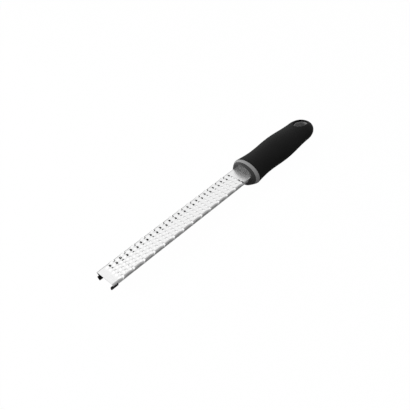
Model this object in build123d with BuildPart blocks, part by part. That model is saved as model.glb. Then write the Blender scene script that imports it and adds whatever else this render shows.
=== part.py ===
from build123d import *
from math import cos, pi, radians, sin, tan
import os

os.makedirs("parts", exist_ok=True)

# A rasp zester: a toothed steel channel whose tang sits in a grey plastic core,
# with a soft black grip moulded over the core. +X runs along the tool towards the
# handle's end, +Y across it and +Z up from the toothed face. The origin is under
# the middle of the tool, level with the lowest point of the handle.

# Blade: a channel folded from one sheet
blade_shown_length = 190.4
blade_width = 25.5
sheet = 0.5
channel_depth = 6.4
fold_radius = 0.9
flange_lean = 25.5

# Root of the blade inside the handle
root_length = 5.5
tang_length = 45.0
tang_width = 14.0
anchor_hole_radius = 2.5
anchor_spacing = 18.0

# Teeth: rows across the plate between a bare stretch at the tip and one at the root,
# with the rows set to either side in turn by a share of the column pitch
teeth_in_row = 5
row_pitch = 6.35
column_pitch = 4.9
row_shift_share = 0.25
bare_tip = 12.7
bare_root = 12.0
tooth_hole_length = 2.6
tooth_hole_width = 3.2
tooth_ramp_length = 3.9
tooth_height = 0.85
tooth_wall = 0.3
tooth_corner = 0.25
tooth_root_share = 0.9

# Feet: caps pushed over the ends of the flanges
foot_front_wall = 1.7
foot_outer_wall = 0.6
foot_inner_wall = 1.0
foot_sole = 1.8
foot_flat = 1.3
foot_cover = 2.4
foot_reach = 6.0
foot_round = 0.45

# Handle
handle_length = 121.6
plate_above_axis = 3.4
face_half_width = 14.2
face_half_height = 13.1
nose_length = 3.3
ring_length = 3.9
front_half_width = 19.05
front_half_height = 14.9
waist_half_width = 17.1
waist_half_height = 13.3
belly_half_width = 18.4
belly_half_height = 14.15
tail_half_width = 16.4
tail_half_height = 11.5
tail_round_length = 20.3
tail_rise = 0.6
grip_wall = 2.6

# Nose plug's spigot in the core
spigot_length = 3.8
spigot_half_width = 13.9
spigot_half_height = 10.9
face_edge = 0.4

# Hang hole through the tail, along Z
hang_hole_length = 19.2
hang_hole_width = 11.2
hang_hole_from_end = 15.5
hang_lip = 1.2

# Clearance between nested pieces, and the overrun of every cut
fit_gap = 0.1
cut_over = 5.0

# Places along the tool
tool_length = foot_front_wall + blade_shown_length + handle_length
end_x = tool_length / 2
face_x = end_x - handle_length
tip_x = face_x - blade_shown_length
ring_x = face_x + nose_length
grip_x = ring_x + ring_length
tail_x = end_x - tail_round_length
root_x = face_x + root_length
tang_x = root_x + tang_length
hang_x = end_x - hang_hole_from_end

# Heights
axis_z = front_half_height
plate_z = axis_z + plate_above_axis
flange_z = plate_z - channel_depth

# Channel section: the sharp corner outside each fold, and the flange's foot
lean = radians(flange_lean)
corner_run = (1 + sin(lean)) / cos(lean)
corner_y = blade_width / 2 - fold_radius + fold_radius * corner_run
flange_y = corner_y - channel_depth * tan(lean)

# Places of the waist and belly, as shares of the way from the grip's front to the
# tail, how much the rounded front bulges, and the sections of the rounded tail, as
# angles round its end.
waist_share = 0.25
belly_share = 0.56
nose_swell_share = 0.25
tail_angles = (0, 22, 42, 58, 71, 84)
grip_rings = 8
nose_rings = 4


def section_plane(x, z=axis_z):
    """Plane across the tool: local x runs along +Y and local y along +Z."""
    return Plane(origin=(x, 0, z), x_dir=(0, 1, 0), z_dir=(1, 0, 0))


def ring_face(x, half_width, half_height, z=axis_z):
    """Oval across the tool."""
    with BuildSketch(section_plane(x, z)) as ring:
        Ellipse(half_width, half_height)
    return ring.sketch


def blend(start, end, share):
    """Value that eases from start to end as share goes from 0 to 1."""
    return start + (end - start) * (1 - cos(pi * share)) / 2


def grip_half_sizes(share):
    """Half width and half height of the grip, share of the way to the tail."""
    if share < waist_share:
        narrowing = sin(pi / 2 * share / waist_share)
        return (
            front_half_width - (front_half_width - waist_half_width) * narrowing,
            front_half_height - (front_half_height - waist_half_height) * narrowing,
        )
    if share < belly_share:
        part = (share - waist_share) / (belly_share - waist_share)
        return (
            blend(waist_half_width, belly_half_width, part),
            blend(waist_half_height, belly_half_height, part),
        )
    part = (share - belly_share) / (1 - belly_share)
    return (
        blend(belly_half_width, tail_half_width, part),
        blend(belly_half_height, tail_half_height, part),
    )


def axis_height(x):
    """Height of the handle's centre line, which rises a little over the tail."""
    belly_x = grip_x + belly_share * (tail_x - grip_x)
    if x < belly_x:
        return axis_z
    return axis_z + tail_rise * (x - belly_x) / (end_x - belly_x)


def handle_form(inset):
    """Solid of the grip's outside, drawn in by inset on every side but the front."""
    rings = []
    for step in range(grip_rings):
        share = step / grip_rings
        x = grip_x + share * (tail_x - grip_x)
        half_width, half_height = grip_half_sizes(share)
        rings.append(ring_face(x, half_width - inset, half_height - inset, axis_height(x)))
    for angle in tail_angles:
        turn = radians(angle)
        x = tail_x + (tail_round_length - inset) * sin(turn) / sin(radians(tail_angles[-1]))
        half_width = (tail_half_width - inset) * cos(turn)
        half_height = (tail_half_height - inset) * cos(turn)
        rings.append(ring_face(x, half_width, half_height, axis_height(x)))
    with BuildPart() as form:
        loft(rings)
    return form.part


def nose_half_sizes(x):
    """Half width and half height of the rounded front, from the face to the grip."""
    share = (x - face_x) / (grip_x - face_x)
    swell = share * (1 + nose_swell_share * (1 - share))
    return (
        face_half_width + (front_half_width - face_half_width) * swell,
        face_half_height + (front_half_height - face_half_height) * swell,
    )


def nose_form(start_x, stop_x):
    """Solid of the rounded front between two places along the tool."""
    rings = []
    for step in range(nose_rings):
        x = start_x + (stop_x - start_x) * step / (nose_rings - 1)
        rings.append(ring_face(x, *nose_half_sizes(x)))
    with BuildPart() as form:
        loft(rings)
    return form.part


def channel_section(x, gap):
    """Cross section of the folded sheet, with gap added on every side."""
    half_outline = [
        (0, plate_above_axis),
        (corner_y, plate_above_axis),
        (flange_y, flange_z - axis_z),
        (flange_y - sheet * cos(lean), flange_z - axis_z + sheet * sin(lean)),
        (corner_y - sheet * corner_run, plate_above_axis - sheet),
        (0, plate_above_axis - sheet),
    ]
    with BuildSketch(section_plane(x)) as section:
        with BuildLine():
            Polyline(*half_outline, close=True)
        make_face()
        inner_fold = section.vertices().sort_by(Axis.X)[-2]
        fillet(inner_fold, radius=fold_radius - sheet)
        outer_fold = section.vertices().sort_by(Axis.X)[-1]
        fillet(outer_fold, radius=fold_radius)
        mirror(about=Plane.YZ)
        if gap > 0:
            offset(amount=gap)
    return section.sketch


def blade_form(gap):
    """Channel, root and tang without teeth, with gap added on every side."""
    with BuildPart() as form:
        extrude(channel_section(tip_x, gap), amount=tang_x + gap - tip_x)
        with BuildSketch(Plane.XY.offset(plate_z + cut_over)):
            for side in (-1, 1):
                waste_width = blade_width
                waste_length = tang_x + cut_over - root_x - gap
                waste_y = side * (tang_width / 2 + gap + waste_width / 2)
                waste_x = root_x + gap + waste_length / 2
                with Locations((waste_x, waste_y)):
                    Rectangle(waste_length, waste_width)
        extrude(amount=-channel_depth - 2 * cut_over, mode=Mode.SUBTRACT)
        anchor_x = (root_x + tang_x) / 2
        with Locations(Location((anchor_x, 0, plate_z))):
            with GridLocations(anchor_spacing, 0, 2, 1):
                Hole(anchor_hole_radius - gap)
    return form.part


def tooth_places():
    """Centres of the tooth holes: rows along X, each row set to one side."""
    first_x = tip_x + bare_tip
    tooth_rows = 1 + int((blade_shown_length - bare_tip - bare_root) / row_pitch)
    places = []
    for row in range(tooth_rows):
        shift = -row_shift_share if row % 2 == 0 else row_shift_share
        for column in range(teeth_in_row):
            y = (column - (teeth_in_row - 1) / 2 + shift) * column_pitch
            places.append(Location((first_x + row * row_pitch, y, plate_z)))
    return places


def side_plane(half_width):
    """Plane along the tool, from which a tooth's side profile is extruded."""
    return Plane(origin=(0, half_width, 0), x_dir=(1, 0, 0), z_dir=(0, -1, 0))


# One tooth, round the centre of its hole: the hood rises towards the handle
mouth_x = -tooth_hole_length / 2
hood_half_width = tooth_hole_width / 2 + tooth_wall

with BuildPart() as hood:
    with BuildSketch(side_plane(hood_half_width)):
        with BuildLine():
            Polyline(
                (mouth_x - tooth_ramp_length, 0),
                (mouth_x, tooth_height),
                (mouth_x, -sheet * tooth_root_share),
                (mouth_x - tooth_ramp_length, -sheet * tooth_root_share),
                close=True,
            )
        make_face()
    extrude(amount=2 * hood_half_width)
    ridges = hood.edges().sort_by(Axis.Z)[-3:].filter_by(Axis.Y, reverse=True)
    chamfer(ridges, length=tooth_corner)

with BuildPart() as tooth_space:
    with BuildSketch(side_plane(tooth_hole_width / 2)):
        with BuildLine():
            Polyline(
                (mouth_x - tooth_ramp_length + 2 * tooth_wall, -sheet),
                (mouth_x, tooth_height - tooth_wall),
                (mouth_x + tooth_wall, tooth_height),
                (tooth_hole_length / 2, tooth_height),
                (tooth_hole_length / 2, -fold_radius),
                (mouth_x - tooth_ramp_length + 2 * tooth_wall, -fold_radius),
                close=True,
            )
        make_face()
    extrude(amount=tooth_hole_width)

# Blade: the folded channel with its teeth and its tang
with BuildPart() as blade:
    add(blade_form(0))
    with Locations(*tooth_places()):
        add(hood.part)
    with Locations(*tooth_places()):
        add(tooth_space.part, mode=Mode.SUBTRACT)
blade.part.label = "blade"
export_step(blade.part, "parts/blade.step")

# Foot: a cap with a slot for the flange, flat under its sole
foot_width = foot_outer_wall + sheet + foot_inner_wall
foot_height = foot_sole + foot_cover
foot_length = foot_front_wall + foot_reach
flange_mid_y = flange_y - sheet / 2 * cos(lean)
flange_mid_z = flange_z + sheet / 2 * sin(lean)
foot_plane = Plane(
    origin=(tip_x - foot_front_wall, flange_mid_y, flange_mid_z),
    x_dir=(0, cos(lean), -sin(lean)),
    z_dir=(1, 0, 0),
)

with BuildPart() as left_foot:
    with BuildSketch(foot_plane):
        centre_out = (foot_outer_wall - foot_inner_wall) / 2
        centre_up = foot_height / 2 - foot_sole
        with Locations((centre_out, centre_up)):
            RectangleRounded(foot_width, foot_height, foot_round)
    extrude(amount=foot_length)
    front_edges = left_foot.faces().sort_by(Axis.X)[0].edges()
    fillet(front_edges, radius=foot_round)
    split(bisect_by=Plane.XY.offset(flange_z - foot_flat), keep=Keep.TOP)
    flange_slot = channel_section(tip_x - fit_gap, fit_gap)
    extrude(flange_slot, amount=foot_reach + cut_over, mode=Mode.SUBTRACT)
left_foot.part.label = "left_foot"
export_step(left_foot.part, "parts/left_foot.step")

with BuildPart() as right_foot:
    add(mirror(left_foot.part, about=Plane.XZ, mode=Mode.PRIVATE))
right_foot.part.label = "right_foot"
export_step(right_foot.part, "parts/right_foot.step")

# Nose plug: the rounded front that holds the root of the blade, with a spigot
with BuildPart() as nose_plug:
    add(nose_form(face_x, ring_x))
    fillet(nose_plug.edges().sort_by(Axis.X)[0], radius=face_edge)
    spigot = ring_face(ring_x, spigot_half_width, spigot_half_height)
    extrude(spigot, amount=spigot_length)
    add(blade_form(fit_gap), mode=Mode.SUBTRACT)
nose_plug.part.label = "nose_plug"
export_step(nose_plug.part, "parts/nose_plug.step")

# Hang hole: an oval through the tail, wider by the lip where the grip is cut
def hang_cut(lip):
    """Upright oval bar through the tail, lip wider on every side."""
    with BuildPart() as cut:
        with BuildSketch(Plane.XY.offset(-cut_over)):
            with Locations((hang_x, 0)):
                Ellipse(hang_hole_length / 2 + lip, hang_hole_width / 2 + lip)
        extrude(amount=2 * front_half_height + 2 * cut_over)
    return cut.part


# Handle core: the collar ring in front and the body under the grip
with BuildPart() as handle_core:
    add(handle_form(grip_wall))
    add(nose_form(ring_x, grip_x))
    pocket = ring_face(ring_x, spigot_half_width + fit_gap, spigot_half_height + fit_gap)
    extrude(pocket, amount=spigot_length + fit_gap, mode=Mode.SUBTRACT)
    add(blade_form(fit_gap), mode=Mode.SUBTRACT)
    add(hang_cut(0), mode=Mode.SUBTRACT)
handle_core.part.label = "handle_core"
export_step(handle_core.part, "parts/handle_core.step")

# Grip sleeve: the soft skin over the core, open at the front and at the hang hole
with BuildPart() as grip_sleeve:
    add(handle_form(0))
    add(handle_form(grip_wall - fit_gap), mode=Mode.SUBTRACT)
    add(hang_cut(hang_lip), mode=Mode.SUBTRACT)
grip_sleeve.part.label = "grip_sleeve"
export_step(grip_sleeve.part, "parts/grip_sleeve.step")
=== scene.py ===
# %% [markdown]
# Rasp zester.
#
# A rasp zester is a strip of stainless sheet with rows of small etched teeth, folded
# into a channel and held in a plastic handle with a soft black grip. The measured
# model gives the size and place of every piece. This script gives each piece its
# finish, and draws the blade, the grip and the core again, finer than their solids.
# The nose plug and the two feet keep their measured meshes.

# %% Load the measured model
from math import atan2, cos, floor, pi, radians, sin, sqrt, tan

import bmesh
import bpy
from mathutils import Matrix, Vector


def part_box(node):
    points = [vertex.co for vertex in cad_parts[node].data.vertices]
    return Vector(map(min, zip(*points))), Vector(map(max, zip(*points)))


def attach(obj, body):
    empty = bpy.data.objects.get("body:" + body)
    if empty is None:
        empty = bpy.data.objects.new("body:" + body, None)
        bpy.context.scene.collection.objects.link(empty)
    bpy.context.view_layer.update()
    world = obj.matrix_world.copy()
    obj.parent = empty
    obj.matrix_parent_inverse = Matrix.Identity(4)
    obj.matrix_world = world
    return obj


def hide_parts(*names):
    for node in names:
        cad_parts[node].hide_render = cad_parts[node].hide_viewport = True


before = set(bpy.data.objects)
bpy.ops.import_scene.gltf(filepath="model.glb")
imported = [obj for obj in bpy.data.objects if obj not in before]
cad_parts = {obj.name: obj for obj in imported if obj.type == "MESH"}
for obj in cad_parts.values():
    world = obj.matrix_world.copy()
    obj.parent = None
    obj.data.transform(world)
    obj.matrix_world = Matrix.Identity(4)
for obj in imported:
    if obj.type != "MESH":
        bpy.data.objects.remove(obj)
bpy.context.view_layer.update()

# %% [markdown]
# The frame is in metres, with the tool's length along X, its width along Y and the
# toothed face up. The places where one piece ends and the next begins are read from
# the boxes of the measured pieces, so that nothing here has to be fitted by eye.

# %% Places along the tool
MM = 0.001
blade_low, blade_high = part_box("blade")
grip_low, grip_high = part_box("grip_sleeve")
tip_x = blade_low.x
tang_x = blade_high.x
face_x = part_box("nose_plug")[0].x
ring_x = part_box("handle_core")[0].x
grip_x = grip_low.x
end_x = grip_high.x
axis_z = (grip_low.z + grip_high.z) / 2
print("face, collar, grip and end at", face_x, ring_x, grip_x, end_x)

# %% [markdown]
# Most surfaces here are a grid of small squares pulled over a form by a rule: the rule
# says where the corner in column i and row j goes. A grid could also be sculpted by
# hand or lofted from curves, but a rule keeps every edge true to the measured sizes,
# and two grids that share a rule along an edge close without a gap.

# %% Tools for draped grids
merge_distance = 0.002 * MM


def drape(bm, columns, rows, place):
    """Adds a grid and moves the corner in column i and row j to place(i, j)."""
    grid = bmesh.ops.create_grid(bm, x_segments=columns, y_segments=rows, size=0.5)
    for vert in grid["verts"]:
        i = round((vert.co.x + 0.5) * columns)
        j = round((vert.co.y + 0.5) * rows)
        vert.co = place(i, j)


def finished(bm, name):
    """Merges the seams, turns the faces outwards and returns the piece."""
    bmesh.ops.remove_doubles(bm, verts=bm.verts, dist=merge_distance)
    bmesh.ops.recalc_face_normals(bm, faces=bm.faces)
    mesh = bpy.data.meshes.new(name)
    bm.to_mesh(mesh)
    bm.free()
    piece = bpy.data.objects.new(name, mesh)
    bpy.context.scene.collection.objects.link(piece)
    return piece


def smoothed(piece, sharp_angle):
    """Smooth shading, with a crease wherever faces meet at more than the angle."""
    piece.data.shade_smooth()
    piece.data.set_sharp_from_angle(angle=radians(sharp_angle))


def apply_modifiers(piece):
    """Keeps the shape that the modifiers give and takes them off."""
    graph = bpy.context.evaluated_depsgraph_get()
    mesh = bpy.data.meshes.new_from_object(piece.evaluated_get(graph))
    piece.modifiers.clear()
    piece.data = mesh


def seat(piece, node):
    """Puts the piece in the place of its measured node."""
    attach(piece, "root")
    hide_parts(node)
    triangles = sum(len(face.vertices) - 2 for face in piece.data.polygons)
    print(piece.name, "stands for", node, "with", triangles, "triangles")


# %% [markdown]
# The handle's form. The real handle is moulded: oval in section, a little narrower
# behind the collar, fuller in the palm and rounded at the tail. Lathed forms are
# usually spun, but this one is wider than it is high and changes along its length, so
# each section is an ellipse whose two half sizes ease from one measured place to the
# next.

# %% The handle's form
front_half = Vector((grip_high.y, (grip_high.z - grip_low.z) / 2))
waist_half = Vector((17.1, 13.3)) * MM
belly_half = Vector((18.4, 14.15)) * MM
tail_half = Vector((16.4, 11.5)) * MM
face_half = Vector((14.2, 13.1)) * MM
tail_round_length = 20.3 * MM
tail_rise = 0.6 * MM
plastic_crease = 40
waist_share = 0.25
belly_share = 0.56
nose_swell_share = 0.25
tail_x = end_x - tail_round_length
belly_x = grip_x + belly_share * (tail_x - grip_x)


def ease(start, end, share):
    """Half sizes that ease from start to end as share goes from 0 to 1."""
    return start.lerp(end, (1 - cos(pi * share)) / 2)


def half_sizes(x):
    """Half width and half height of the grip at x."""
    share = (x - grip_x) / (tail_x - grip_x)
    if share < waist_share:
        return front_half.lerp(waist_half, sin(pi / 2 * share / waist_share))
    if share < belly_share:
        return ease(waist_half, belly_half, (share - waist_share) / (belly_share - waist_share))
    return ease(belly_half, tail_half, min(1, (share - belly_share) / (1 - belly_share)))


def nose_half_sizes(x):
    """Half width and half height of the rounded front, from the face to the grip."""
    share = (x - face_x) / (grip_x - face_x)
    return face_half.lerp(front_half, share * (1 + nose_swell_share * (1 - share)))


def centre_height(x):
    """Height of the handle's centre line, which rises a little over the tail."""
    return axis_z + tail_rise * max(0, x - belly_x) / (end_x - belly_x)


def skin(x, y, inset, side):
    """Point of the handle over (x, y), inset under the surface, above or below."""
    half = half_sizes(x) - Vector((inset, inset))
    past_tail = max(0, x - tail_x) / (tail_round_length - inset)
    rise = sqrt(max(0, 1 - past_tail**2 - (y / half.x) ** 2))
    return Vector((x, y, centre_height(x) + side * half.y * rise))


print("widest at the front and in the palm:", 2 * front_half.x, 2 * belly_half.x)

# %% [markdown]
# The hang hole. An oval hole runs down through the tail. The soft grip ends in a
# rounded lip round it, and the grey core lines it a little further in. A Boolean cut
# would be quick, but it leaves slivers that spoil a rounded edge. Instead, the tail is
# laid out as a net whose lines run from the tail's outline to the hole, so the lip is
# just more rows of the same net.

# %% The net round the hang hole
hole_half = Vector((9.6, 5.6)) * MM
hang_x = end_x - 15.5 * MM
net_x = tail_x - 12.2 * MM
half_ring = 48
end_columns = 80
net_columns = half_ring + end_columns
net_rows = 14
net_reach = 1.0
lip_rows = 5


def net_edge(i, inset):
    """Point i of the net's outer edge in plan: across the body, then round the end."""
    if i <= half_ring:
        half_width = half_sizes(net_x).x - inset
        return Vector((net_x, half_width * cos(pi * i / half_ring)))
    way = (i - half_ring) / end_columns
    side = -1 if way < 0.5 else 1
    straight = tail_x - net_x
    quarter = pi / 2 * sqrt((tail_round_length**2 + tail_half.x**2) / 2)
    distance = 2 * min(way, 1 - way) * (straight + quarter)
    if distance < straight:
        x = net_x + distance
        return Vector((x, side * (half_sizes(x).x - inset)))
    turn = pi / 2 * (distance - straight) / quarter
    x = tail_x + (tail_round_length - inset) * sin(turn)
    return Vector((x, side * (tail_half.x - inset) * cos(turn)))


def hole_edge(i, margin):
    """Point i of the hole in plan, with the hole made wider by margin."""
    spot = net_edge(i, 0)
    turn = atan2(spot.y / hole_half.y, (spot.x - hang_x) / hole_half.x)
    return Vector((hang_x + (hole_half.x + margin) * cos(turn), (hole_half.y + margin) * sin(turn)))


def add_net(bm, inset, margin, side):
    """Tail surface between the outline and the hole, closer rows near the outline."""

    def place(i, j):
        share = (1 - cos(net_reach * j / net_rows)) / (1 - cos(net_reach))
        spot = net_edge(i, inset).lerp(hole_edge(i, margin), share)
        return skin(spot.x, spot.y, inset, side)

    drape(bm, net_columns, net_rows, place)


def lip_point(i, share, inset, margin, radius, side):
    """Point of the rounded edge from the surface, share 0, to the hole's wall, share 1."""
    outer = hole_edge(i, margin + radius)
    wall = hole_edge(i, margin)
    start = skin(outer.x, outer.y, inset, side)
    corner = skin(wall.x, wall.y, inset, side)
    foot = corner - Vector((0, 0, side * radius))
    return start.lerp(corner, share).lerp(corner.lerp(foot, share), share)


def add_lip(bm, inset, margin, radius, side):
    """Rounded edge of the hole."""
    drape(
        bm,
        net_columns,
        lip_rows,
        lambda i, j: lip_point(i, j / lip_rows, inset, margin, radius, side),
    )


def body_ring(x, inset):
    """A ring of the handle's body as x, half sizes and centre height."""
    return x, half_sizes(x) - Vector((inset, inset)), centre_height(x)


def add_rings(bm, rings):
    """Skin over a row of oval rings, each given as x, half sizes and centre height."""

    def place(i, j):
        turn = pi * i / half_ring
        x, half, height = rings[j]
        return Vector((x, half.x * cos(turn), height + half.y * sin(turn)))

    drape(bm, 2 * half_ring, len(rings) - 1, place)


print("net over the tail:", net_columns, "by", net_rows, "squares on each side")

# %% [markdown]
# The grip. The real one is soft black rubber moulded over the core, about 2.6 mm thick.
# It is a closed sleeve here: an outer skin, a rounded front edge, a rounded lip in the
# hang hole and an inner skin that stays 0.1 mm clear of the core. One run of rings
# makes the inside, the front edge and the outside. A rounded edge has a ring at each
# of edge_turns, in degrees.

# %% Build the grip
grip_wall = 2.5 * MM
grip_edge = 0.35 * MM
hang_lip = 1.2 * MM
lip_round = 1.6 * MM
body_rows = 56
edge_turns = (0, 30, 60, 90)


def spaced(start, stop, count):
    """Places from start to stop in count equal steps."""
    return [start + (stop - start) * k / count for k in range(count + 1)]


def build_grip():
    """Soft sleeve over the core."""
    bm = bmesh.new()
    rings = [body_ring(x, grip_wall) for x in spaced(net_x, grip_x, body_rows)]
    for turn in edge_turns[:-1]:
        x = grip_x + grip_edge * (1 - cos(radians(turn)))
        rings.append(body_ring(x, grip_edge * (1 - sin(radians(turn)))))
    rings += [body_ring(x, 0) for x in spaced(grip_x + grip_edge, net_x, body_rows)]
    add_rings(bm, rings)
    for side in (1, -1):
        add_net(bm, 0, hang_lip + lip_round, side)
        add_net(bm, grip_wall, hang_lip, side)
        add_lip(bm, 0, hang_lip, lip_round, side)

        def wall(i, j):
            spot = hole_edge(i, hang_lip)
            top = lip_point(i, 1, 0, hang_lip, lip_round, side)
            return top.lerp(skin(spot.x, spot.y, grip_wall, side), j)

        drape(bm, net_columns, 1, wall)
    piece = finished(bm, "soft_grip")
    smoothed(piece, plastic_crease)
    seat(piece, "grip_sleeve")
    return piece


soft_grip = build_grip()

# %% [markdown]
# The core. It is the rigid grey plastic under the grip. Two parts of it show: the
# collar band in front of the grip and the lining of the hang hole. Both edges of the
# collar are broken by a small radius, which draws the thin dark lines on either side
# of the band. A slot takes the blade's tang.

# %% Build the core
core_inset = 2.6 * MM
collar_edge = 0.4 * MM
lining_round = 0.6 * MM
lining_rows = 4
collar_rows = 6
pocket_half = Vector((14.0, 11.0)) * MM
pocket_depth = 3.9 * MM
plate_top_z = axis_z + 3.4 * MM
sheet = 0.5 * MM
tang_half_width = 6.975 * MM
slot_gap = 0.1 * MM


def collar_rings():
    """The collar from the inner edge of its front to the foot of its back."""
    rings = [(ring_x, pocket_half, axis_z)]
    for turn in edge_turns:
        x = ring_x + collar_edge * (1 - cos(radians(turn)))
        inset = collar_edge * (1 - sin(radians(turn)))
        rings.append((x, nose_half_sizes(x) - Vector((inset, inset)), axis_z))
    for x in spaced(ring_x + collar_edge, grip_x - collar_edge, collar_rows)[1:-1]:
        rings.append((x, nose_half_sizes(x), axis_z))
    for turn in reversed(edge_turns):
        x = grip_x - collar_edge * (1 - cos(radians(turn)))
        inset = collar_edge * (1 - sin(radians(turn)))
        rings.append((x, nose_half_sizes(x) - Vector((inset, inset)), axis_z))
    return rings


def build_core():
    """Rigid core with its collar, its pocket for the nose plug and its lined hole."""
    bm = bmesh.new()
    pocket_x = ring_x + pocket_depth
    rings = [(pocket_x, Vector((0, 0)), axis_z), (pocket_x, pocket_half, axis_z)]
    rings += collar_rings()
    rings += [body_ring(x, core_inset) for x in spaced(grip_x, net_x, body_rows)]
    add_rings(bm, rings)
    for side in (1, -1):
        add_net(bm, core_inset, lining_round, side)
        add_lip(bm, core_inset, 0, lining_round, side)

    def wall(i, j):
        top = lip_point(i, 1, core_inset, 0, lining_round, 1)
        bottom = lip_point(i, 1, core_inset, 0, lining_round, -1)
        return top.lerp(bottom, j / lining_rows)

    drape(bm, net_columns, lining_rows, wall)
    return finished(bm, "rigid_core")


def cut_slot(core):
    """Cuts the slot for the tang into the core."""
    bm = bmesh.new()
    bmesh.ops.create_cube(bm, size=1)
    start = Vector((ring_x, -tang_half_width - slot_gap, plate_top_z - sheet - slot_gap))
    stop = Vector((tang_x + slot_gap, tang_half_width + slot_gap, plate_top_z + slot_gap))
    bmesh.ops.scale(bm, vec=stop - start, verts=bm.verts)
    bmesh.ops.translate(bm, vec=(start + stop) / 2, verts=bm.verts)
    cutter = finished(bm, "slot_cutter")
    cut = core.modifiers.new("slot", "BOOLEAN")
    cut.operation = "DIFFERENCE"
    cut.solver = "EXACT"
    cut.object = cutter
    apply_modifiers(core)
    bpy.data.objects.remove(cutter)


rigid_core = build_core()
cut_slot(rigid_core)
smoothed(rigid_core, plastic_crease)
seat(rigid_core, "handle_core")

# %% [markdown]
# The blade. A real blade is etched flat, its teeth are raised, and the sheet is then
# folded. It is made in that order here: one flat grid whose lines fall on the edges
# of the teeth, holes taken out, hoods raised in front of them, the two long edges
# folded down, and the sheet given its thickness last. Arraying one tooth would be
# easier, but would leave seams between the copies and could not follow the fold. The
# outermost hoods reach over the bend, where their lips slope out instead of following
# the flange: they are the pale scallops along the blade's edge. fold_hood_profile is
# made of pairs, a distance out from the hole's middle and a height, in millimetres.

# %% The blade's sizes
root_length = 5.5 * MM
root_x = face_x + root_length
tooth_rows = 27
teeth_in_row = 5
row_pitch = 6.35 * MM
column_pitch = 4.9 * MM
row_shift_share = 0.25
bare_tip = 12.7 * MM
hole_half_length = 1.3 * MM
hole_half_width = 1.6 * MM
hood_length = 3.9 * MM
hood_half_width = 2.3 * MM
fold_hole_reach = 2.6 * MM
hood_height = 0.82 * MM
fold_hood_profile = ((0, 0.82), (1.4, 0.55), (3.0, 1.7), (6.0, 0))
hood_ramp_power = 1.3
hood_crown_power = 0.8
mouth_bow = 0.4 * MM
far_edge_bow = 0.45 * MM
lip_thickness_share = 0.45
steel_crease = 35
blade_half_width = 12.75 * MM
channel_depth = 6.4 * MM
outer_fold = 0.9 * MM
lean = radians(25.5)
fold_radius = outer_fold - sheet / 2
fold_angle = pi / 2 + lean
fold_start = blade_half_width - outer_fold
fold_end = fold_start + fold_radius * fold_angle
flange_length = channel_depth / cos(lean) - outer_fold * tan(fold_angle / 2)
plate_mid_z = plate_top_z - sheet / 2
anchor_radius = 2.5 * MM
anchor_reach = 1.5 * anchor_radius
anchor_spacing = 18 * MM
anchor_x = (root_x + tang_x) / 2
print("root of the channel at", root_x, "and straight part of a flange", flange_length)

# %% Lines of the flat sheet
bare_steps = 4
ramp_steps = 6
hole_steps = 3
tang_steps = 40
fold_steps = 3
flange_steps = 9
rounding = 1e-6
first_row_x = tip_x + bare_tip
outer_tooth_y = ((teeth_in_row - 1) / 2 + row_shift_share) * column_pitch


def lines_along():
    """Places along the sheet where the grid has a line, from the tip to the tang's end."""
    first_mouth = first_row_x - hole_half_length
    hood_start = first_mouth - hood_length
    lines = spaced(tip_x, hood_start, bare_steps)[:-1]
    lines += spaced(hood_start, first_mouth, ramp_steps)[:-1]
    for row in range(tooth_rows):
        mouth = first_mouth + row * row_pitch
        far_edge = mouth + 2 * hole_half_length
        lines += spaced(mouth, far_edge, hole_steps)[:-1]
        lines += spaced(far_edge, mouth + row_pitch, ramp_steps)[:-1]
    last_x = first_mouth + tooth_rows * row_pitch
    return lines + spaced(last_x, root_x, bare_steps) + spaced(root_x, tang_x, tang_steps)[1:]


def lines_across():
    """Places across the flat sheet, from one flange's edge to the other's."""
    cell = column_pitch / 2
    in_cell = [
        0,
        (cell - hole_half_width) / 2,
        cell - hole_half_width,
        cell / 2,
        hole_half_width,
        (cell + hole_half_width) / 2,
    ]
    hole_edge_y = outer_tooth_y + hole_half_width
    lattice = [(k - 0.5) * cell + offset for k in range(teeth_in_row + 1) for offset in in_cell]
    half = [y for y in lattice if merge_distance < y < hole_edge_y + merge_distance]
    half += spaced(hole_edge_y, fold_end, fold_steps)[1:]
    half += spaced(fold_end, fold_end + flange_length, flange_steps)[1:]
    return [-y for y in reversed(half)] + [0] + half


along = lines_along()
across = lines_across()
print("flat sheet:", len(along), "lines along and", len(across), "across")

# %% Rules for teeth, hoods and folds


def tooth_offset(x, y, rows_ahead=0):
    """How far a place on the flat sheet lies from the hole of its own or a later row."""
    row = floor((x - first_row_x + hole_half_length) / row_pitch + rounding) + rows_ahead
    row = min(max(row, 0), tooth_rows - 1)
    shift = row_shift_share if row % 2 else -row_shift_share
    middle = (teeth_in_row - 1) / 2
    column = min(max(round(y / column_pitch - shift + middle), 0), teeth_in_row - 1)
    centre_y = (column - middle + shift) * column_pitch
    return x - first_row_x - row * row_pitch, y - centre_y


def over_fold(y, dy):
    """Whether a place lies on the fold's side of an outermost tooth."""
    return abs(y - dy) > outer_tooth_y - merge_distance and dy * y > 0


def fold_hood_height(distance):
    """Height of an outermost hood's lip, that far out from its hole's middle."""
    for (start, low), (stop, high) in zip(fold_hood_profile, fold_hood_profile[1:]):
        if distance < stop * MM:
            return (low + (high - low) * (distance / MM - start) / (stop - start)) * MM
    return 0


def hood_rise(dx, dy, y):
    """Height of a hood over the sheet, at an offset from its hole's middle."""
    ramp = (dx + hole_half_length + hood_length) / hood_length
    if ramp < 0 or ramp > 1 + rounding:
        return 0
    if over_fold(y, dy):
        return fold_hood_height(abs(dy)) * ramp**hood_ramp_power
    if abs(dy) > hood_half_width:
        return 0
    crown = (1 - (dy / hood_half_width) ** 2) ** hood_crown_power
    return hood_height * ramp**hood_ramp_power * crown


def on_edge(dx, dy, edge_dx):
    """Whether a place lies on the edge across a hole at edge_dx from its middle."""
    return abs(dx - edge_dx) < merge_distance and abs(dy) < hole_half_width + merge_distance


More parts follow.
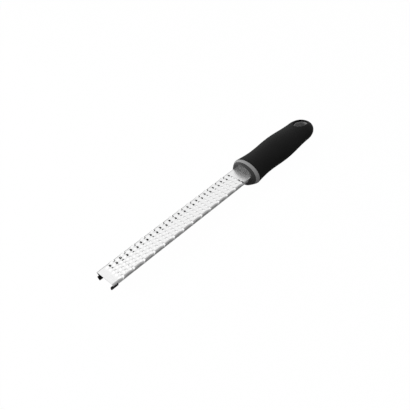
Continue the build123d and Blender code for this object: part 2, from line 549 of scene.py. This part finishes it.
def edge_bow(dx, dy):
    """How far along the tool the bow of a hole's front or far edge moves a place."""
    across_share = dy / hole_half_width
    if on_edge(dx, dy, -hole_half_length):
        return mouth_bow * (1 - across_share**2)
    if on_edge(dx, dy, hole_half_length):
        return -far_edge_bow * across_share**2
    return 0


def folded(x, y, rise):
    """Place in the channel of a spot of the flat sheet that is raised by rise."""
    side = -1 if y < 0 else 1
    past = abs(y) - fold_start
    if past <= 0:
        return Vector((x, y, plate_mid_z + rise))
    turn = min(past / fold_radius, fold_angle)
    straight = max(0, past - fold_radius * fold_angle)
    out = fold_start + (fold_radius + rise) * sin(turn) + straight * cos(fold_angle)
    up = plate_mid_z - fold_radius + (fold_radius + rise) * cos(turn) - straight * sin(fold_angle)
    return Vector((x, side * out, up))


# %% Build the blade


def in_waste(place):
    """Whether a face of the flat sheet is a tooth's hole, an anchor hole or waste."""
    if place.x > root_x:
        from_anchor = Vector((abs(place.x - anchor_x) - anchor_spacing / 2, place.y))
        return abs(place.y) > tang_half_width or from_anchor.length < anchor_radius
    dx, dy = tooth_offset(place.x, place.y)
    half_width = fold_hole_reach if over_fold(place.y, dy) else hole_half_width
    return abs(dx) < hole_half_length and abs(dy) < half_width


def on_anchor(x, y):
    """Moves a place on the edge of the sheet near an anchor hole onto the hole's circle."""
    for centre_x in (anchor_x - anchor_spacing / 2, anchor_x + anchor_spacing / 2):
        from_anchor = Vector((x - centre_x, y))
        if from_anchor.length < anchor_reach:
            x, y = Vector((centre_x, 0)) + from_anchor.normalized() * anchor_radius
    return x, y


def build_blade():
    """Channel of thin sheet with its teeth and its tang."""
    bm = bmesh.new()
    drape(
        bm,
        len(along) - 1,
        len(across) - 1,
        lambda i, j: Vector((along[i], across[j], 0)),
    )
    waste = [face for face in bm.faces if in_waste(face.calc_center_median())]
    bmesh.ops.delete(bm, geom=waste, context="FACES")
    lip_weight = bm.verts.layers.deform.verify()
    for vert in bm.verts:
        x, y = vert.co.xy
        if x > root_x + merge_distance:
            if vert.is_boundary:
                x, y = on_anchor(x, y)
            vert.co = folded(x, y, 0)
            continue
        rise = max(hood_rise(*tooth_offset(x, y, ahead), y) for ahead in (0, 1))
        dx, dy = tooth_offset(x, y)
        if on_edge(dx, dy, -hole_half_length):
            vert[lip_weight][0] = 1.0
        vert.co = folded(x + edge_bow(dx, dy), y, rise)
    return finished(bm, "toothed_blade")


toothed_blade = build_blade()
thicken = toothed_blade.modifiers.new("sheet", "SOLIDIFY")
thicken.thickness = sheet
thicken.offset = 0
thicken.use_even_offset = True
toothed_blade.vertex_groups.new(name="lip")
thicken.vertex_group = "lip"
thicken.invert_vertex_group = True
thicken.thickness_vertex_group = lip_thickness_share
thicken.material_offset = 1
# The sheet's outside and its inside each have a slot, and get their steel further down
for name in ("outside", "inside"):
    toothed_blade.data.materials.append(bpy.data.materials.new(name))
apply_modifiers(toothed_blade)
smoothed(toothed_blade, steel_crease)
seat(toothed_blade, "blade")

# %% [markdown]
# Shader maths. Finishes are mixed from noise, and long chains of Math nodes are hard
# to read. A small class wraps an output socket, so that a sum on values is written as
# a sum and adds its own Math nodes.

# %% Tools for materials


class Value:
    """A node's output that can be used in sums."""

    def __init__(self, recipe, socket):
        self.recipe = recipe
        self.socket = socket

    def combined(self, operation, first, second):
        return self.recipe.node("ShaderNodeMath", {"operation": operation}, {0: first, 1: second})

    def __add__(self, other):
        return self.combined("ADD", self, other)

    __radd__ = __add__

    def __sub__(self, other):
        return self.combined("SUBTRACT", self, other)

    def __rsub__(self, other):
        return self.combined("SUBTRACT", other, self)

    def __mul__(self, other):
        return self.combined("MULTIPLY", self, other)

    __rmul__ = __mul__


class Recipe:
    """The nodes of one material or of the world."""

    def __init__(self, tree):
        self.tree = tree
        self.tree.nodes.clear()

    def node(self, kind, settings=None, inputs=None, output=0):
        """Adds a node, with its settings first, and returns one of its outputs, if any."""
        made = self.tree.nodes.new(kind)
        for key, value in (settings or {}).items():
            setattr(made, key, value)
        for key, value in (inputs or {}).items():
            if isinstance(value, Value):
                self.tree.links.new(value.socket, made.inputs[key])
            else:
                made.inputs[key].default_value = value
        return Value(self, made.outputs[output]) if len(made.outputs) else None


def grey(level):
    """A neutral colour of that level."""
    return (level, level, level, 1)


def new_recipe(name):
    """A new material and the recipe of its nodes."""
    material = bpy.data.materials.new(name)
    material.use_nodes = True
    return material, Recipe(material.node_tree)


def noise(recipe, place, scale, detail, roughness=0.5):
    """Soft noise with that many cells in a metre."""
    return recipe.node(
        "ShaderNodeTexNoise",
        {"noise_dimensions": "3D"},
        {"Vector": place, "Scale": scale, "Detail": detail, "Roughness": roughness},
    )


def object_place(recipe):
    """Object coordinates, in metres."""
    return recipe.node("ShaderNodeTexCoord", output="Object")


def step_up(recipe, value, low, high):
    """Goes from 0 to 1 while a value goes from low to high."""
    return recipe.node(
        "ShaderNodeMapRange", {"clamp": True}, {"Value": value, "From Min": low, "From Max": high}
    )


def bumped(recipe, height, distance):
    """A normal pushed by a height, whose full range is that distance in metres."""
    return recipe.node("ShaderNodeBump", {}, {"Height": height, "Distance": distance})


def surface(recipe, **inputs):
    """The Principled shader of a recipe and its output node."""
    shader = recipe.node("ShaderNodeBsdfPrincipled", {}, inputs)
    recipe.node("ShaderNodeOutputMaterial", {}, {"Surface": shader})


# %% [markdown]
# Stainless steel. The real sheet is etched, so it has a pale satin face with fine
# mottling, and faint lines along its length from rolling. Polished metal would show
# hard reflections, and a plain grey would look like paint, so the metal keeps a bright
# base colour, and the noise goes mostly into its roughness and a very small bump. The
# bends carry painted shade, a darker base colour, but for the raised lips. The same
# recipe at a lower level paints shade on the inside of the channel, so that it shows
# almost black through the holes.

# %% Steel
rolling_stretch = (0.04, 1, 1)
rolling_scale = 6000
mottle_scale = 700
mottle_depth = 0.012 * MM
mottle_tone = 0.10
rolled_tone = 0.06
mottle_roughness = 0.14
rolled_roughness = 0.06
rolled_height = 0.5
# The bends' painted shade: where it lies and how much it darkens the base colour.
bend_width = 0.6 * MM
bend_heights = (plate_top_z - 1.0 * MM, plate_top_z - 0.5 * MM)
lip_heights = (plate_top_z + 0.05 * MM, plate_top_z + 0.2 * MM)
bend_painted_shade = 0.5


def bend_shade_share(recipe, place):
    """Where the bends' painted shade falls: 1 on the bends, 0 on the plate, flanges and lips."""
    apart = recipe.node("ShaderNodeSeparateXYZ", {}, {"Vector": place}, output="Y")
    height = recipe.node("ShaderNodeSeparateXYZ", {}, {"Vector": place}, output="Z")
    sideways = recipe.node("ShaderNodeMath", {"operation": "ABSOLUTE"}, {0: apart})
    near_bend = step_up(recipe, sideways, fold_start - bend_width, fold_start)
    above_flange = step_up(recipe, height, *bend_heights)
    raised = step_up(recipe, height, *lip_heights)
    return near_bend * above_flange * (1 - raised)


def make_steel(name, level, roughness):
    """Stainless sheet of that level of grey and that roughness."""
    material, recipe = new_recipe(name)
    place = object_place(recipe)
    stretched = recipe.node(
        "ShaderNodeVectorMath", {"operation": "MULTIPLY"}, {0: place, 1: rolling_stretch}
    )
    rolled = noise(recipe, stretched, rolling_scale, detail=3)
    mottle = noise(recipe, place, mottle_scale, detail=4, roughness=0.6)
    etched = level + mottle_tone * (mottle - 0.5) + rolled_tone * (rolled - 0.5)
    uneven = roughness + mottle_roughness * (mottle - 0.5) + rolled_roughness * (rolled - 0.5)
    # Painted shade: the base colour is darker on the bends of the fold.
    tone = etched * (1 - bend_painted_shade * bend_shade_share(recipe, place))
    colour = recipe.node("ShaderNodeCombineColor", {}, {0: tone, 1: tone, 2: tone})
    surface(recipe, **{
        "Base Color": colour,
        "Metallic": 1.0,
        "Roughness": uneven,
        "Normal": bumped(recipe, mottle + rolled_height * rolled, mottle_depth),
    })
    return material


steel = make_steel("satin_steel", level=0.83, roughness=0.34)
# Painted shade: a far darker steel for the channel's inside, which stands in its shade.
shaded_inside_steel = make_steel("shaded_inside_steel", level=0.22, roughness=0.5)
print("steel:", steel.name, "and", shaded_inside_steel.name)

# %% [markdown]
# Moulded plastic and rubber. The core is a rigid grey plastic with a fine spark-eroded
# grain, and the nose plug a darker one. The grip and the feet are black rubber, duller
# and with a finer grain. All vary a little in tone from patch to patch. They are the
# same kind of finish with other values, so one function makes them.

# %% Plastic and rubber
patch_scale = 60
patch_roughness = 0.10
grain_roughness = 0.08


def make_moulded(name, level, spread, roughness, grain_scale, grain_depth, gloss):
    """Moulded finish: a level of grey that varies a little, and a fine grain."""
    material, recipe = new_recipe(name)
    place = object_place(recipe)
    patches = noise(recipe, place, patch_scale, detail=3)
    grain = noise(recipe, place, grain_scale, detail=3, roughness=0.6)
    tone = level + spread * (patches - 0.5)
    uneven = roughness + patch_roughness * (patches - 0.5) + grain_roughness * (grain - 0.5)
    colour = recipe.node("ShaderNodeCombineColor", {}, {0: tone, 1: tone, 2: tone})
    surface(recipe, **{
        "Base Color": colour,
        "Roughness": uneven,
        "Specular IOR Level": gloss,
        "Normal": bumped(recipe, grain, grain_depth),
    })
    return material


core_plastic = make_moulded(
    "moulded_grey_plastic",
    level=0.31,
    spread=0.02,
    roughness=0.42,
    grain_scale=2500,
    grain_depth=0.01 * MM,
    gloss=0.4,
)
nose_plastic = make_moulded(
    "moulded_dark_plastic",
    level=0.055,
    spread=0.01,
    roughness=0.42,
    grain_scale=2500,
    grain_depth=0.01 * MM,
    gloss=0.15,
)
grip_rubber = make_moulded(
    "soft_black_rubber",
    level=0.013,
    spread=0.004,
    roughness=0.5,
    grain_scale=3500,
    grain_depth=0.02 * MM,
    gloss=0.04,
)
foot_rubber = make_moulded(
    "black_foot_rubber",
    level=0.006,
    spread=0.002,
    roughness=0.5,
    grain_scale=4000,
    grain_depth=0.01 * MM,
    gloss=0.1,
)
print("moulded:", core_plastic.name, nose_plastic.name, grip_rubber.name, foot_rubber.name)

# %% Give every piece its finish


def paint(piece, material):
    """Gives the whole piece one material."""
    if len(piece.material_slots) == 0:
        piece.data.materials.append(material)
    for slot in piece.material_slots:
        slot.material = material


toothed_blade.material_slots[0].material = steel
# The channel's inside gets the darker steel as painted shade.
toothed_blade.material_slots[1].material = shaded_inside_steel
paint(soft_grip, grip_rubber)
paint(rigid_core, core_plastic)
paint(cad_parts["nose_plug"], nose_plastic)
paint(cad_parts["left_foot"], foot_rubber)
paint(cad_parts["right_foot"], foot_rubber)
print("finishes:", [material.name for material in bpy.data.materials])

# %% [markdown]
# The studio. The tool lies on a floor in a white room, under soft light from above. A
# white background could be had by more light, but that would burn out the steel.
# Instead, Light Path shows the camera a white room and a floor that is all but white,
# with a trace of the tool's shadow. In reflections the room is white too, but the floor
# keeps nine tenths of its own grey. So the plate looks white, and the flanges, which
# face the floor, look grey.

# %% Floor and room
floor_reach = 4
floor_grey = 0.35
floor_white = 1.02
white_for_camera = 0.97
white_in_reflections = 0.1
room_light = 0.42


def build_floor():
    """Floor under the tool, white to the camera but for a faint shadow."""
    bm = bmesh.new()
    bmesh.ops.create_grid(bm, x_segments=1, y_segments=1, size=floor_reach)
    floor_piece = finished(bm, "floor")
    material, recipe = new_recipe("floor_white")
    diffuse = recipe.node("ShaderNodeBsdfDiffuse", {}, {"Color": grey(floor_grey)})
    white = recipe.node("ShaderNodeEmission", {}, {"Color": grey(1), "Strength": floor_white})
    camera_ray = recipe.node("ShaderNodeLightPath", output="Is Camera Ray")
    glossy_ray = recipe.node("ShaderNodeLightPath", output="Is Glossy Ray")
    factor = white_for_camera * camera_ray + white_in_reflections * glossy_ray
    mix = recipe.node("ShaderNodeMixShader", {}, {0: factor, 1: diffuse, 2: white})
    recipe.node("ShaderNodeOutputMaterial", {}, {"Surface": mix})
    paint(floor_piece, material)


def build_room():
    """White world for the camera and for reflections, plain soft light for the rest."""
    world = bpy.data.worlds.new("white_room")
    world.use_nodes = True
    recipe = Recipe(world.node_tree)
    light = recipe.node("ShaderNodeBackground", {}, {"Color": grey(1), "Strength": room_light})
    white = recipe.node("ShaderNodeBackground", {}, {"Color": grey(1), "Strength": 1.0})
    camera_ray = recipe.node("ShaderNodeLightPath", output="Is Camera Ray")
    glossy_ray = recipe.node("ShaderNodeLightPath", output="Is Glossy Ray")
    mix = recipe.node("ShaderNodeMixShader", {}, {0: camera_ray + glossy_ray, 1: light, 2: white})
    recipe.node("ShaderNodeOutputWorld", {}, {"Surface": mix})
    bpy.context.scene.world = world


build_floor()
build_room()
print("room light:", room_light)

# %% Lamp
key_place = (-0.85, 0.75, 0.9)
key_target = (0.05, 0, 0)
key_size = 0.6
key_power = 14


def add_softbox(name, place, target, size, power):
    """Square soft light at place, turned to target."""
    lamp = bpy.data.lights.new(name, "AREA")
    lamp.size = size
    lamp.energy = power
    softbox = bpy.data.objects.new(name, lamp)
    softbox.location = place
    softbox.rotation_euler = (Vector(target) - Vector(place)).to_track_quat("-Z", "Y").to_euler()
    bpy.context.scene.collection.objects.link(softbox)


add_softbox("key_softbox", key_place, key_target, key_size, key_power)
print("lamp at", key_place, "with", key_power, "watts")

# %% [markdown]
# The camera. It looks down on the tool from the side of the blade, so that the handle
# runs away to the upper right. Its place and turn are real sizes, worked out from
# where the tool's measured corners appear in the photograph.

# %% Camera
camera_place = Vector((tip_x, 0, axis_z)) + Vector((-112.61, -307.88, 327.06)) * MM
camera_azimuth = radians(-37.704)
camera_elevation = radians(39.708)
camera_roll = radians(-11.248)
camera_lens = 43.02
camera_shift = (0.011, -0.0022)


def build_camera():
    """Camera at the photograph's viewing angle."""
    back = Vector((
        sin(camera_azimuth) * cos(camera_elevation),
        -cos(camera_azimuth) * cos(camera_elevation),
        sin(camera_elevation),
    ))
    right = Vector((cos(camera_azimuth), sin(camera_azimuth), 0))
    upright = Matrix((right, back.cross(right), back)).transposed()
    rolled = upright @ Matrix.Rotation(camera_roll, 3, "Z")
    camera = bpy.data.objects.new("camera", bpy.data.cameras.new("camera"))
    camera.matrix_world = Matrix.Translation(camera_place) @ rolled.to_4x4()
    camera.data.lens = camera_lens
    camera.data.shift_x, camera.data.shift_y = camera_shift
    bpy.context.scene.collection.objects.link(camera)
    bpy.context.scene.camera = camera


build_camera()
print("camera at", tuple(camera_place), "with a lens of", camera_lens, "mm")
bpy.context.scene.view_settings.view_transform = "Standard"
